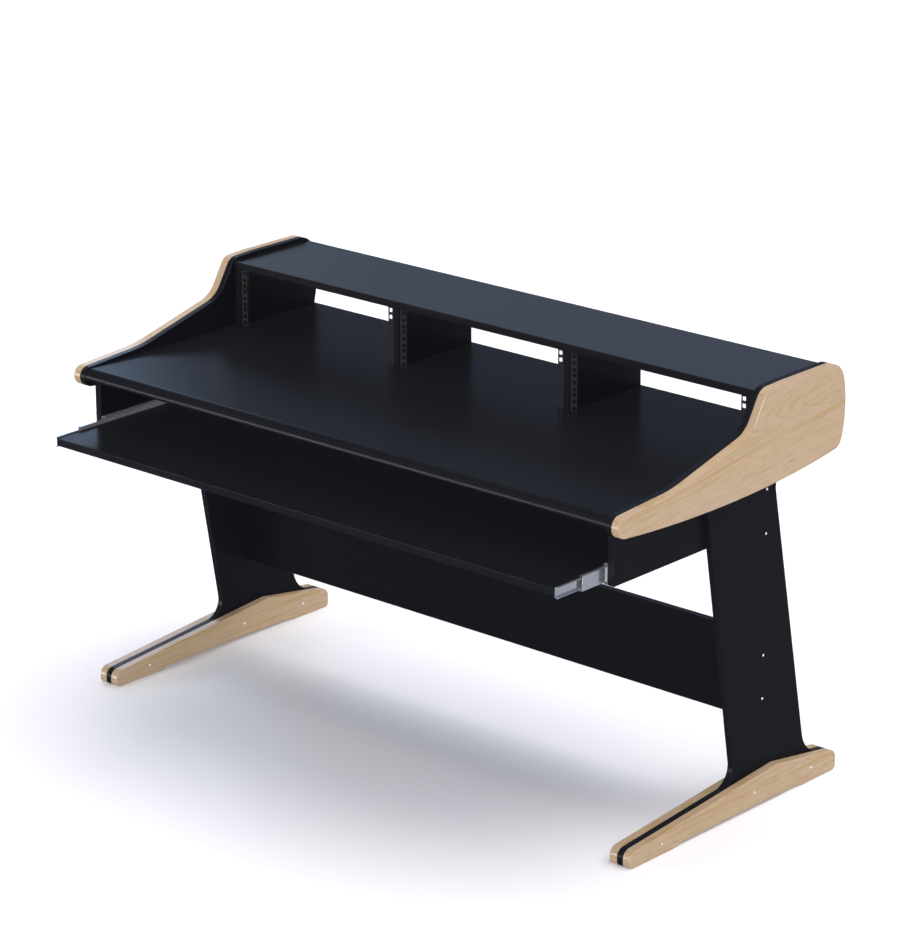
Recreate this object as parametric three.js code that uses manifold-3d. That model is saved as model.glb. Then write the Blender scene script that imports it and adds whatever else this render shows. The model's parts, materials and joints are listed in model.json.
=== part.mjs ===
// Studio desk: side frames with pale wood faces, a desktop with a rack bridge and a sliding keyboard tray.
// Lengths are in millimetres. While the desk is built, x runs to the right, y to the back and z up,
// x = 0 is the middle of the desk, y = 0 the middle of the feet and z = 0 the floor.
import * as THREE from "three";
import { mergeVertices } from "three/addons/utils/BufferGeometryUtils.js";
import Module from "manifold-3d";

const wasm = await Module();
wasm.setup();

// Boards
const cheekThickness = 20;
const sidePanelThickness = 16;
const footBoardThickness = 20;
const dropPanelThickness = 18;
const stretcherThickness = 18;
const shelfThickness = 18;
const rackBoardThickness = 18;
const desktopThickness = 25;
const trayThickness = 18;
const seatGap = 0.3; // hairline between two pieces that meet
const cutOverrun = 2; // how far a cut runs past the face that it opens
const boardArris = 1.5; // soft edge of a laminated board
const woodArris = 3; // rounded edge of the wooden pieces
const noseRadius = 20; // the desktop's nose is a half bullnose, round from its top face
const noseFlat = 0.15; // flat left between the nose and the small round under it

// Heights and depths of the horizontal boards
const desktopTopZ = 785;
const desktopOverhang = 29; // how far the desktop stands out in front of the drop panels
const desktopRearY = 338;
const shelfFrontY = 83;
const shelfRearY = 331;

// S-shaped cheek seen from the right. Each point says how far it lies behind one edge and over one level.
const cheekRim = 10; // over the shelf
const cheekNoseRadius = 23.4;
const fromDesktopFront = {
  nose: { back: 21.4, up: -20.6 },
  bellyPull: { back: 221, up: -63.5 },
  armBend: { back: 188, up: 13.4 },
};
const fromShelfFront = {
  rampBend: { back: -51.7, up: 76.4 },
};
const fromShelfFrontAndRim = {
  brow: { back: -0.5, up: -2.5 },
  topBend: { back: 70, up: 0 },
};
const fromDesktopRear = {
  bellyPull: { back: -226, up: -66 },
  heel: { back: -10.5, up: -30.5 },
  heelPull: { back: 9, up: -27.5 },
  backLow: { back: 15, up: 1 },
  backPullLow: { back: 25, up: 41 },
};
const fromDesktopRearAndRim = {
  backPullHigh: { back: 25, up: -80 },
  backHigh: { back: 17, up: -43 },
  crownPull: { back: 8, up: -5 },
  topRear: { back: -25, up: 0 },
};
const bendRadius = { top: 300, brow: 32, ramp: 72, arm: 320 };

// Foot: a low sled that peaks behind its middle and stands on a front and a rear pad
const foot = {
  frontY: -356,
  rearY: 362,
  frontTopZ: 36.9,
  peakY: 150,
  peakZ: 79,
  rearTopZ: 45.7,
  topTipRadius: 20,
  lowTipRadius: 10,
  peakRadius: 50,
  reliefZ: 6,
  reliefFrontY: -190,
  frontPadEndY: -212,
  rearPadStartY: 239,
  reliefRearY: 218,
};

// Leg: a leaning strip between cheek and foot, with its front edge set by one point
const leg = {
  frontY: -4,
  frontAtZ: 242,
  width: 238.5,
  leanRun: 105,
  leanRise: 578,
  topFillet: 25,
  frontFootFillet: 38,
  rearFootFillet: 58,
};

// Cross boards between the two side frames, on a screw line that runs through the strip of leg
// between its front edge at the lowest screw and its rear edge at the highest one
const lowerStretcherBottomZ = 187;
const lowerStretcherHeight = 200;
const upperStretcherHeight = 190;
const screwLineShare = 0.7784;

// Drop panels under the desktop carry the keyboard slides
const dropPanelBottomZ = 626;

// Screws through the legs into the stretchers, and bolts through the feet
const screw = {
  headRadius: 3.1,
  headHeight: 2.5,
  shankRadius: 2.2,
  length: 50,
  sink: 0.4,
  clearance: 0.3,
  socketAcross: 2.5,
  socketDepth: 1.5,
  pairSpacing: 100,
};
const footBoltY = { front: -249, middle: 69, rear: 273 };
const footBoltHeightShare = 0.525;

// Rack bridge: three bays for standard front panels, with a pair of punched steel rails in each
const rackBays = 3;
const rack = {
  unitHeight: 44.45,
  panelWidth: 482.6,
  panelClearance: 1.87,
  panelThickness: 3,
  holeFromPanelEdge: 8.75,
  firstHoleZ: 6.35,
  holeSize: 9.5,
  holeMargin: 2.6,
  railDepth: 24,
  railSteel: 2,
  headroom: 1.65,
};
const rackUnits = 3;
const holesPerUnit = 3;

// Telescopic slides: three nested channels on caged balls, on each side of the tray
const slide = {
  length: 450,
  rearRoom: 30,
  centreZ: 649,
  thickness: 12.7,
  steel: 1.2,
  outerHeight: 45,
  outerDepth: 10.2,
  outerLip: 2.3,
  middleHeight: 34,
  middleInset: 2.4,
  middleDepth: 11.4,
  middleLip: 1.3,
  innerHeight: 24,
  innerFlange: 7.5,
  cageSteel: 0.6,
  cageLength: 180,
  cageSetBack: 134,
  ballClearance: 0.3,
  outerBallInset: 6,
  innerBallInset: 8,
  ballEndMargin: 12,
};
const ballsPerRace = 6;

// Keyboard tray, drawn pulled out, and the shares of its travel that the slides' own pieces make
const trayRearSetBack = 50; // the tray ends this far before the slides do
const trayPullOut = 150;
const travelShares = { outerCage: 0.25, middle: 0.5, innerCage: 0.75 };

// How finely curves are divided
const arcStep = THREE.MathUtils.degToRad(12);
const bendSteps = 5;
const sweepSteps = 9;
const arrisSteps = 3;
const roundSegments = 12;
const hexSides = 6;
const ballSides = 6;
const ballRings = 4;
const searchSteps = 40;

// Leg edges, and the screws through them
const legFrontEdge = (z) => leg.frontY + ((leg.frontAtZ - z) * leg.leanRun) / leg.leanRise;
const legRearEdge = (z) => legFrontEdge(z) + leg.width;
const desktopUnderZ = desktopTopZ - desktopThickness;
const stretcherPlaces = [
  { bottomZ: lowerStretcherBottomZ, height: lowerStretcherHeight },
  { bottomZ: desktopUnderZ - seatGap - upperStretcherHeight, height: upperStretcherHeight },
];
const legScrewHeights = stretcherPlaces.flatMap(({ bottomZ, height }) => [
  bottomZ + height / 2 - screw.pairSpacing / 2,
  bottomZ + height / 2 + screw.pairSpacing / 2,
]);

// Places from front to back
const lowScrewFrontEdge = legFrontEdge(legScrewHeights[0]);
const highScrewRearEdge = legRearEdge(legScrewHeights.at(-1));
const screwLineY = lowScrewFrontEdge + (highScrewRearEdge - lowScrewFrontEdge) * screwLineShare;
const stretcherFrontY = screwLineY - stretcherThickness / 2;
const dropPanelFrontY = stretcherFrontY - slide.rearRoom - slide.length;
const desktopFrontY = dropPanelFrontY - desktopOverhang;
const slideFrontY = dropPanelFrontY - seatGap;
const trayDepth = slide.length - trayRearSetBack;

// Places from the middle to the sides
const bayWidth = rack.panelWidth + 2 * rack.panelClearance;
const betweenPanels = rackBays * bayWidth + (rackBays + 1) * rackBoardThickness;
const dropOuterX = betweenPanels / 2;
const dropInnerX = dropOuterX - dropPanelThickness;
const slideOuterX = dropInnerX - seatGap;
const trayEdgeX = slideOuterX - slide.thickness - seatGap;
const panelInnerX = dropOuterX + seatGap;
const panelOuterX = panelInnerX + sidePanelThickness;
const cheekInnerX = panelOuterX + seatGap;

// Heights of the rack bridge and of the cheeks beside it
const bayHeight = rackUnits * rack.unitHeight + rack.headroom;
const shelfUnderZ = desktopTopZ + bayHeight;
const rimZ = shelfUnderZ + shelfThickness + cheekRim;

// Finishes
const finish = {
  blackLaminate: () => new THREE.MeshStandardMaterial({ color: 0x1f2023, roughness: 0.38, metalness: 0 }),
  paleMaple: () => new THREE.MeshStandardMaterial({ color: 0xd9bf97, roughness: 0.5, metalness: 0 }),
  zincSteel: () => new THREE.MeshStandardMaterial({ color: 0xc9ccd0, roughness: 0.3, metalness: 1 }),
  blackSteel: () => new THREE.MeshStandardMaterial({ color: 0x17181a, roughness: 0.45, metalness: 0.6 }),
  brightScrew: () => new THREE.MeshStandardMaterial({ color: 0xd8d9db, roughness: 0.25, metalness: 1 }),
};

// Joining and cutting solids
function solidOf(geometry) {
  const bare = geometry.clone();
  bare.deleteAttribute("normal");
  bare.deleteAttribute("uv");
  const merged = mergeVertices(bare);
  const mesh = new wasm.Mesh({
    numProp: 3,
    vertProperties: new Float32Array(merged.attributes.position.array),
    triVerts: new Uint32Array(merged.index.array),
  });
  return new wasm.Manifold(mesh);
}

function geometryOf(solid) {
  const mesh = solid.getMesh();
  const geometry = new THREE.BufferGeometry();
  geometry.setAttribute("position", new THREE.BufferAttribute(mesh.vertProperties, mesh.numProp));
  geometry.setIndex(new THREE.BufferAttribute(mesh.triVerts, 1));
  geometry.computeVertexNormals();
  return geometry;
}

function without(geometry, cutters) {
  const cut = (solid, cutter) => solid.subtract(solidOf(cutter));
  return geometryOf(cutters.reduce(cut, solidOf(geometry)));
}

function joined(geometries) {
  const [first, ...others] = geometries.map(solidOf);
  return geometryOf(others.reduce((solid, other) => solid.add(other), first));
}

function named(name, geometry, material) {
  const mesh = new THREE.Mesh(geometry, material);
  mesh.name = name;
  return mesh;
}

// Outlines: a corner is [y, z, radius], and a corner with a radius becomes an arc
function roundedOutline(corners) {
  const points = [];
  corners.forEach(([y, z, radius = 0], i) => {
    const here = new THREE.Vector2(y, z);
    if (radius === 0) {
      points.push(here);
      return;
    }
    const [previousY, previousZ] = corners.at(i - 1);
    const [nextY, nextZ] = corners[(i + 1) % corners.length];
    const back = new THREE.Vector2(previousY, previousZ).sub(here).normalize();
    const on = new THREE.Vector2(nextY, nextZ).sub(here).normalize();
    const halfAngle = Math.acos(back.dot(on)) / 2;
    const centre = back.clone().add(on).setLength(radius / Math.sin(halfAngle)).add(here);
    const reach = radius / Math.tan(halfAngle);
    const start = back.multiplyScalar(reach).add(here).sub(centre).angle();
    const end = on.multiplyScalar(reach).add(here).sub(centre).angle();
    const sweep = Math.atan2(Math.sin(end - start), Math.cos(end - start));
    const steps = Math.max(2, Math.ceil(Math.abs(sweep) / arcStep));
    for (let k = 0; k <= steps; k++) {
      const angle = start + (sweep * k) / steps;
      points.push(new THREE.Vector2(Math.cos(angle), Math.sin(angle)).multiplyScalar(radius).add(centre));
    }
  });
  return points;
}

const bezier = (...ends) => new THREE.CubicBezierCurve(...ends.map(([y, z]) => new THREE.Vector2(y, z)));
const bend = (...ends) => new THREE.QuadraticBezierCurve(...ends.map(([y, z]) => new THREE.Vector2(y, z)));
const asCorner = (point) => [point.x, point.y];

// A board whose outline lies in y and z: it starts at x = startX and is as thick as told
function upright(name, outline, startX, thickness, material) {
  const shape = new THREE.Shape(outline);
  const geometry = new THREE.ExtrudeGeometry(shape, { depth: thickness, bevelEnabled: false });
  return stood(named(name, geometry, material), startX);
}

function stood(mesh, startX) {
  mesh.rotation.set(Math.PI / 2, Math.PI / 2, 0);
  mesh.position.x = startX;
  return mesh;
}

// A bar with its section in x and z that runs back from y = frontY
function runBack(name, geometry, frontY, length, material) {
  const mesh = named(name, geometry, material);
  mesh.rotation.x = Math.PI / 2;
  mesh.position.y = frontY + length;
  return mesh;
}

// Cheek outline, counter-clockwise from the underside of the nose
const placed = (y, z) => (point) => [y + point.back, z + point.up];
const behindFront = placed(desktopFrontY, desktopTopZ);
const byShelf = placed(shelfFrontY, desktopTopZ);
const byShelfRim = placed(shelfFrontY, rimZ);
const byRear = placed(desktopRearY, desktopTopZ);
const byRearRim = placed(desktopRearY, rimZ);
const [noseY, noseZ] = behindFront(fromDesktopFront.nose);

const bellyCurve = bezier(
  [noseY, noseZ - cheekNoseRadius],
  behindFront(fromDesktopFront.bellyPull),
  byRear(fromDesktopRear.bellyPull),
  byRear(fromDesktopRear.heel),
);

function cheekBackAndTop() {
  const { heel, heelPull, backLow, backPullLow } = fromDesktopRear;
  const { backPullHigh, backHigh, crownPull, topRear } = fromDesktopRearAndRim;
  const { topBend, brow } = fromShelfFrontAndRim;
  const curves = [
    bend(byRear(heel), byRear(heelPull), byRear(backLow)),
    bezier(byRear(backLow), byRear(backPullLow), byRearRim(backPullHigh), byRearRim(backHigh)),
    bend(byRearRim(backHigh), byRearRim(crownPull), byRearRim(topRear)),
  ].flatMap((curve) => curve.getPoints(bendSteps).slice(1));
  const noseSteps = Math.round(Math.PI / arcStep);
  const nose = Array.from({ length: noseSteps - 1 }, (_, k) => {
    const angle = Math.PI / 2 + (Math.PI * (k + 1)) / noseSteps;
    return new THREE.Vector2(Math.cos(angle), Math.sin(angle))
      .multiplyScalar(cheekNoseRadius)
      .add(new THREE.Vector2(noseY, noseZ));
  });
  return [
    ...curves.map(asCorner),
    [...byShelfRim(topBend), bendRadius.top],
    [...byShelfRim(brow), bendRadius.brow],
    [...byShelf(fromShelfFront.rampBend), bendRadius.ramp],
    [...behindFront(fromDesktopFront.armBend), bendRadius.arm],
    ...nose.map(asCorner),
  ];
}

// Foot outline from its front pad round the rear, in the two halves that the leg joins
const footTopFront = [foot.frontY, foot.frontTopZ, foot.topTipRadius];
const footTopRear = [foot.rearY, foot.rearTopZ, foot.topTipRadius];
const footUnderside = [
  [foot.frontY, 0, foot.lowTipRadius],
  [foot.frontPadEndY, 0],
  [foot.reliefFrontY, foot.reliefZ],
  [foot.reliefRearY, foot.reliefZ],
  [foot.rearPadStartY, 0],
  [foot.rearY, 0, foot.lowTipRadius],
];

function footTopZ(y) {
  const [endY, endZ] = y < foot.peakY ? [foot.frontY, foot.frontTopZ] : [foot.rearY, foot.rearTopZ];
  return foot.peakZ + ((endZ - foot.peakZ) * (y - foot.peakY)) / (endY - foot.peakY);
}

// Where the leg's edges meet the belly of the cheek and the top of the foot
function meetingOnBelly(edge) {
  let [low, high] = [0, 1];
  for (let k = 0; k < searchSteps; k++) {
    const middle = (low + high) / 2;
    const point = bellyCurve.getPoint(middle);
    if (point.x < edge(point.y)) low = middle;
    else high = middle;
  }
  return low;
}

function meetingOnFoot(edge) {
  let z = foot.peakZ;
  for (let k = 0; k < searchSteps; k++) z = footTopZ(edge(z));
  return [edge(z), z];
}

function bellyBetween(from, to, steps) {
  return Array.from({ length: steps + 1 }, (_, k) =>
    asCorner(bellyCurve.getPoint(from + ((to - from) * k) / steps)),
  );
}

function sidePanelOutline() {
  const frontMeeting = meetingOnBelly(legFrontEdge);
  const rearMeeting = meetingOnBelly(legRearEdge);
  const beforeLeg = bellyBetween(0, frontMeeting, bendSteps);
  const afterLeg = bellyBetween(rearMeeting, 1, bendSteps);
  return roundedOutline([
    ...beforeLeg.slice(0, -1),
    [...beforeLeg.at(-1), leg.topFillet],
    [...meetingOnFoot(legFrontEdge), leg.frontFootFillet],
    footTopFront,
    ...footUnderside,
    footTopRear,
    [...meetingOnFoot(legRearEdge), leg.rearFootFillet],
    [...afterLeg[0], leg.topFillet],
    ...afterLeg.slice(1),
    ...cheekBackAndTop(),
  ]);
}

// Screws and bolts lie along z here: the head's face is at z = 0 and the shank runs down
function screwProfile(grow, length) {
  const headRadius = screw.headRadius + grow;
  const shankRadius = screw.shankRadius + grow;
  const top = grow > 0 ? cutOverrun : -screw.sink;
  return [
    new THREE.Vector2(0, -length - grow),
    new THREE.Vector2(shankRadius, -length - grow),
    new THREE.Vector2(shankRadius, -screw.sink - screw.headHeight - grow),
    new THREE.Vector2(headRadius, -screw.sink - screw.headHeight - grow),
    new THREE.Vector2(headRadius, top),
    new THREE.Vector2(0, top),
  ];
}

function lathedAlongZ(profile) {
  return new THREE.LatheGeometry(profile, roundSegments).rotateX(Math.PI / 2);
}

function screwHole(y, z, faceX) {
  return lathedAlongZ(screwProfile(screw.clearance, screw.length)).translate(y, z, faceX);
}

function hexSocket(faceZ, direction) {
  const depth = screw.socketDepth + cutOverrun;
  const radius = screw.socketAcross / Math.sqrt(3);
  return new THREE.CylinderGeometry(radius, radius, depth, hexSides)
    .rotateX(Math.PI / 2)
    .translate(0, 0, faceZ + direction * (depth / 2 - screw.socketDepth));
}

function legScrewGeometry() {
  return without(lathedAlongZ(screwProfile(0, screw.length)), [hexSocket(-screw.sink, 1)]);
}

function footBoltGeometry(length) {
  const farFace = -length + screw.sink;
  const farHead = [
    new THREE.Vector2(0, farFace),
    new THREE.Vector2(screw.headRadius, farFace),
    new THREE.Vector2(screw.headRadius, farFace + screw.headHeight),
    ...screwProfile(0, length).slice(2),
  ];
  farHead.splice(3, 0, new THREE.Vector2(screw.shankRadius, farFace + screw.headHeight));
  return without(lathedAlongZ(farHead), [hexSocket(-screw.sink, 1), hexSocket(farFace, -1)]);
}

// A wooden piece: flat on its inner face, rounded all round its outer face
function woodGeometry(outline, thickness, cutters) {
  const geometry = new THREE.ExtrudeGeometry(new THREE.Shape(outline), {
    depth: thickness,
    bevelEnabled: true,
    bevelThickness: woodArris,
    bevelSize: woodArris,
    bevelOffset: -woodArris,
    bevelSegments: arrisSteps,
  }).translate(0, 0, -woodArris);
  const box = new THREE.Box3().setFromBufferAttribute(geometry.attributes.position);
  const size = box.getSize(new THREE.Vector3()).addScalar(cutOverrun);
  const middle = box.getCenter(new THREE.Vector3());
  const planedOff = new THREE.BoxGeometry(size.x, size.y, size.z);
  planedOff.translate(middle.x, middle.y, -size.z / 2);
  return without(geometry, [planedOff, ...cutters]);
}

// One side frame, drawn for the right: the left one is its mirror image
const footBoltPlaces = Object.values(footBoltY).map((y) => [y, footTopZ(y) * footBoltHeightShare]);
const innerFootX = dropOuterX - footBoardThickness;
const outerFootX = panelOuterX + seatGap;
const footBoltLength = outerFootX + footBoardThickness - innerFootX;

function roundHole(y, z, thickness) {
  const radius = screw.shankRadius + screw.clearance;
  const length = thickness + 2 * cutOverrun;
  return new THREE.CylinderGeometry(radius, radius, length, roundSegments)
    .rotateX(Math.PI / 2)
    .translate(y, z, thickness / 2);
}

function sidePanel(side) {
  const [name, material] = [`${side}_side_panel`, finish.blackLaminate()];
  const mesh = upright(name, sidePanelOutline(), panelInnerX, sidePanelThickness, material);
  const legHoles = legScrewHeights.map((z) => screwHole(screwLineY, z, sidePanelThickness));
  const footHoles = footBoltPlaces.map(([y, z]) => roundHole(y, z, sidePanelThickness));
  mesh.geometry = without(mesh.geometry, [...legHoles, ...footHoles]);
  return mesh;
}

function woodCheek(side) {
  const outline = [...bellyBetween(0, 1, sweepSteps), ...cheekBackAndTop()];
  const geometry = woodGeometry(roundedOutline(outline), cheekThickness, []);
  return stood(named(`${side}_wood_cheek`, geometry, finish.paleMaple()), cheekInnerX);
}

function footBoard(side, place) {
  const outline = roundedOutline([
    ...footUnderside,
    footTopRear,
    [foot.peakY, foot.peakZ, foot.peakRadius],
    footTopFront,
  ]);
  const holes = footBoltPlaces.map(([y, z]) => screwHole(y, z, footBoardThickness));
  const geometry = woodGeometry(outline, footBoardThickness, holes);
  const mesh = stood(named(`${side}_${place}_foot_board`, geometry, finish.paleMaple()), outerFootX);
  if (place === "inner") {
    mesh.scale.z = -1;
    mesh.position.x = innerFootX + footBoardThickness;
  }
  return mesh;
}

function dropPanel(side) {
  const [front, rear] = [dropPanelFrontY, stretcherFrontY - seatGap];
  const top = desktopUnderZ - seatGap;
  const outline = roundedOutline([
    [front, dropPanelBottomZ, boardArris],
    [rear, dropPanelBottomZ],
    [rear, top],
    [front, top, boardArris],
  ]);
  return upright(`${side}_drop_panel`, outline, dropInnerX, dropPanelThickness, finish.blackLaminate());
}

function legScrews(side) {
  return legScrewHeights.map((z, i) => {
    const mesh = named(`${side}_leg_screw_${i + 1}`, legScrewGeometry(), finish.brightScrew());
    mesh.rotation.y = Math.PI / 2;
    mesh.position.set(panelOuterX, screwLineY, z);
    return mesh;
  });
}

function footBolts(side) {
  return footBoltPlaces.map(([y, z], i) => {
    const geometry = footBoltGeometry(footBoltLength);
    const mesh = named(`${side}_foot_bolt_${i + 1}`, geometry, finish.brightScrew());
    mesh.rotation.y = Math.PI / 2;
    mesh.position.set(outerFootX + footBoardThickness, y, z);
    return mesh;
  });
}

// Telescopic slide of the right side. Its section gives each corner's distance from the drop panel
// and its height over the middle of the slide
function channelSection(startX, flangeX, lipDepth, height) {
  const [direction, half, steel] = [Math.sign(flangeX - startX), height / 2, slide.steel];
  const lip = [
    [flangeX - direction * steel, half - steel - lipDepth],
    [flangeX - direction * steel, half - steel],
  ];
  const upper = [
    [startX, half],
    [flangeX, half],
    [flangeX, half - steel - lipDepth],
    ...(lipDepth > 0 ? lip : []),
    [startX + direction * steel, half - steel],
  ];
  const lower = upper.map(([x, z]) => [x, -z]).reverse();
  return [...upper, ...lower];
}

function shapeAtSlide(section) {
  return new THREE.Shape(section.map(([x, z]) => new THREE.Vector2(slideOuterX - x, slide.centreZ + z)));
}

function channel(name, section, frontY) {
  const shape = shapeAtSlide(section);
  const geometry = new THREE.ExtrudeGeometry(shape, { depth: slide.length, bevelEnabled: false });
  return runBack(name, geometry, frontY, slide.length, finish.zincSteel());
}

// A ball cage: a thin channel with balls set in its two edges, which roll between two members
function ballCage(name, webX, ballX, ballZ, ballRadius, frontY) {
  const [half, steel] = [ballZ + slide.cageSteel / 2, slide.cageSteel];
  const reachX = ballX + ballRadius / 2;
  const turn = Math.sign(reachX - webX) * steel;
  const upper = [
    [webX, half],
    [reachX, half],
    [reachX, half - steel],
    [webX + turn, half - steel],
  ];
  const section = [...upper, ...upper.map(([x, z]) => [x, -z]).reverse()];
  const shape = shapeAtSlide(section);
  const strip = new THREE.ExtrudeGeometry(shape, { depth: slide.cageLength, bevelEnabled: false });
  const pitch = (slide.cageLength - 2 * slide.ballEndMargin) / (ballsPerRace - 1);
  const balls = [-ballZ, ballZ].flatMap((z) =>
    Array.from({ length: ballsPerRace }, (_, k) =>
      new THREE.SphereGeometry(ballRadius, ballSides, ballRings).translate(
        slideOuterX - ballX,
        slide.centreZ + z,
        slide.ballEndMargin + k * pitch,
      ),
    ),
  );
  return runBack(name, joined([strip, ...balls]), frontY, slide.cageLength, finish.zincSteel());
}

function slidePack(side) {
  const outerFlangeZ = slide.outerHeight / 2 - slide.steel;
  const middleFlangeZ = slide.middleHeight / 2 - slide.steel;
  const outerRace = outerFlangeZ - slide.middleHeight / 2;
  const innerRace = middleFlangeZ - slide.innerHeight / 2;
  const innerWebX = slide.thickness;
  return [
    channel(
      `${side}_slide_outer`,
      channelSection(0, slide.outerDepth, slide.outerLip, slide.outerHeight),
      slideFrontY,
    ),
    channel(
      `${side}_slide_middle`,
      channelSection(slide.middleInset, slide.middleDepth, slide.middleLip, slide.middleHeight),
      slideFrontY - trayPullOut * travelShares.middle,
    ),
    channel(
      `${side}_slide_inner`,
      channelSection(innerWebX, innerWebX - slide.innerFlange, 0, slide.innerHeight),
      slideFrontY - trayPullOut,
    ),
    ballCage(
      `${side}_outer_ball_cage`,
      slide.steel + slide.ballClearance,
      slide.outerBallInset,
      outerFlangeZ - outerRace / 2,
      outerRace / 2 - slide.ballClearance,
      slideFrontY + slide.cageSetBack - trayPullOut * travelShares.outerCage,
    ),
    ballCage(
      `${side}_inner_ball_cage`,
      slide.middleInset + slide.steel + slide.ballClearance,
      slide.innerBallInset,
      middleFlangeZ - innerRace / 2,
      innerRace / 2 - slide.ballClearance,
      slideFrontY + slide.cageSetBack - trayPullOut * travelShares.innerCage,
    ),
  ];
}

function sideFrame(side, mirror) {
  const frame = new THREE.Group();
  frame.add(
    sidePanel(side),
    woodCheek(side),
    footBoard(side, "outer"),
    footBoard(side, "inner"),
    dropPanel(side),
    ...legScrews(side),
    ...footBolts(side),
    ...slidePack(side),
  );
  frame.scale.x = mirror;
  return frame;
}

// Boards that run from side to side
function crossBoard(name, corners, width, material) {
  return upright(name, roundedOutline(corners), -width / 2, width, material);
}

function desktop() {
  const corners = [
    [desktopFrontY, desktopUnderZ, desktopThickness - noseRadius - noseFlat],
    [desktopRearY, desktopUnderZ, boardArris],
    [desktopRearY, desktopTopZ, boardArris],
    [desktopFrontY, desktopTopZ, noseRadius],
  ];
  return crossBoard("desktop", corners, betweenPanels, finish.blackLaminate());
}

function topShelf() {
  const corners = [
    [shelfFrontY, shelfUnderZ, boardArris],
    [shelfRearY, shelfUnderZ, boardArris],
    [shelfRearY, shelfUnderZ + shelfThickness, boardArris],
    [shelfFrontY, shelfUnderZ + shelfThickness, boardArris],
  ];
  return crossBoard("top_shelf", corners, betweenPanels, finish.blackLaminate());
}

function stretcher(name, { bottomZ, height }) {
  const rearY = stretcherFrontY + stretcherThickness;
  const corners = [
    [stretcherFrontY, bottomZ, boardArris],
    [rearY, bottomZ, boardArris],
    [rearY, bottomZ + height, boardArris],
    [stretcherFrontY, bottomZ + height, boardArris],
  ];
  const mesh = crossBoard(name, corners, betweenPanels, finish.blackLaminate());
  const depth = screw.length - sidePanelThickness;
  const radius = screw.shankRadius + screw.clearance;
  const bores = [-1, 1].flatMap((spread) =>
    [0, betweenPanels].map((endX) =>
      new THREE.CylinderGeometry(radius, radius, 2 * depth, roundSegments)
        .rotateX(Math.PI / 2)
        .translate(screwLineY, bottomZ + height / 2 + (spread * screw.pairSpacing) / 2, endX),
    ),
  );
  mesh.geometry = without(mesh.geometry, bores);
  return mesh;
}

function keyboardTray() {
  const frontY = slideFrontY - trayPullOut;
  const rearY = frontY + trayDepth;
  const underZ = slide.centreZ - trayThickness / 2;
  const corners = [
    [frontY, underZ, boardArris],
    [rearY, underZ, boardArris],
    [rearY, underZ + trayThickness, boardArris],
    [frontY, underZ + trayThickness, boardArris],
  ];
  return crossBoard("keyboard_tray", corners, 2 * trayEdgeX, finish.blackLaminate());
}

// Rack bridge: end boards and dividers stand on the desktop and carry the shelf
function rackBoard(name, startX) {
  const [underZ, topZ] = [desktopTopZ + seatGap, shelfUnderZ - seatGap];
  const outline = roundedOutline([
    [shelfFrontY, underZ],
    [shelfRearY, underZ],
    [shelfRearY, topZ],
    [shelfFrontY, topZ],
  ]);
  return upright(name, outline, startX, rackBoardThickness, finish.blackLaminate());
}

function rackRail(name, boardFaceX, inward) {
  const height = rackUnits * rack.unitHeight;
  const holeX = rack.panelClearance + rack.holeFromPanelEdge - seatGap;
  const [left, right] = [holeX - rack.holeSize / 2, holeX + rack.holeSize / 2];
  const flange = right + rack.holeMargin;
  const holePitch = (rack.unitHeight - 2 * rack.firstHoleZ) / (holesPerUnit - 1);
  const face = new THREE.Shape([
    new THREE.Vector2(0, 0),
    new THREE.Vector2(flange, 0),
    new THREE.Vector2(flange, height),
    new THREE.Vector2(0, height),
  ]);
  for (let unit = 0; unit < rackUnits; unit++) {
    for (let hole = 0; hole < holesPerUnit; hole++) {
      const middleZ = unit * rack.unitHeight + rack.firstHoleZ + hole * holePitch;
      const [low, high] = [middleZ - rack.holeSize / 2, middleZ + rack.holeSize / 2];
      face.holes.push(
        new THREE.Path([
          new THREE.Vector2(left, low),
          new THREE.Vector2(left, high),
          new THREE.Vector2(right, high),
          new THREE.Vector2(right, low),
        ]),
      );
    }
  }
  const faceStrip = new THREE.ExtrudeGeometry(face, { depth: rack.railSteel, bevelEnabled: false });
  const web = new THREE.BoxGeometry(rack.railSteel, height, rack.railDepth).translate(
    rack.railSteel / 2,
    height / 2,
    rack.railSteel - rack.railDepth / 2,
  );
  const mesh = named(name, joined([faceStrip, web]), finish.blackSteel());
  mesh.rotation.x = Math.PI / 2;
  mesh.scale.x = inward;
  mesh.position.set(
    boardFaceX + inward * seatGap,
    shelfFrontY + rack.panelThickness + rack.railSteel,
    desktopTopZ + (bayHeight - height) / 2,
  );
  return mesh;
}

function rackBridge() {
  const bridge = new THREE.Group();
  const pitch = bayWidth + rackBoardThickness;
  const firstX = -dropOuterX;
  const boardNames = ["left_rack_end", "left_rack_divider", "right_rack_divider", "right_rack_end"];
  boardNames.forEach((name, i) => bridge.add(rackBoard(name, firstX + i * pitch)));
  for (let bay = 0; bay < rackBays; bay++) {
    const leftX = firstX + bay * pitch + rackBoardThickness;
    bridge.add(rackRail(`rack_rail_${2 * bay + 1}`, leftX, 1));
    bridge.add(rackRail(`rack_rail_${2 * bay + 2}`, leftX + bayWidth, -1));
  }
  return bridge;
}

// The finished desk stands with its origin under the middle of its own length and width
const desk = new THREE.Group();
desk.add(
  desktop(),
  topShelf(),
  stretcher("lower_stretcher", stretcherPlaces[0]),
  stretcher("upper_stretcher", stretcherPlaces[1]),
  keyboardTray(),
  rackBridge(),
  sideFrame("left", -1),
  sideFrame("right", 1),
);
desk.position.y = -(slideFrontY - trayPullOut + foot.rearY) / 2;

const part = new THREE.Group();
part.add(desk);

export default part;
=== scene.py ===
import json
import math

import bmesh
import bpy
from mathutils import Matrix, Vector
from mathutils.geometry import interpolate_bezier

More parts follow.
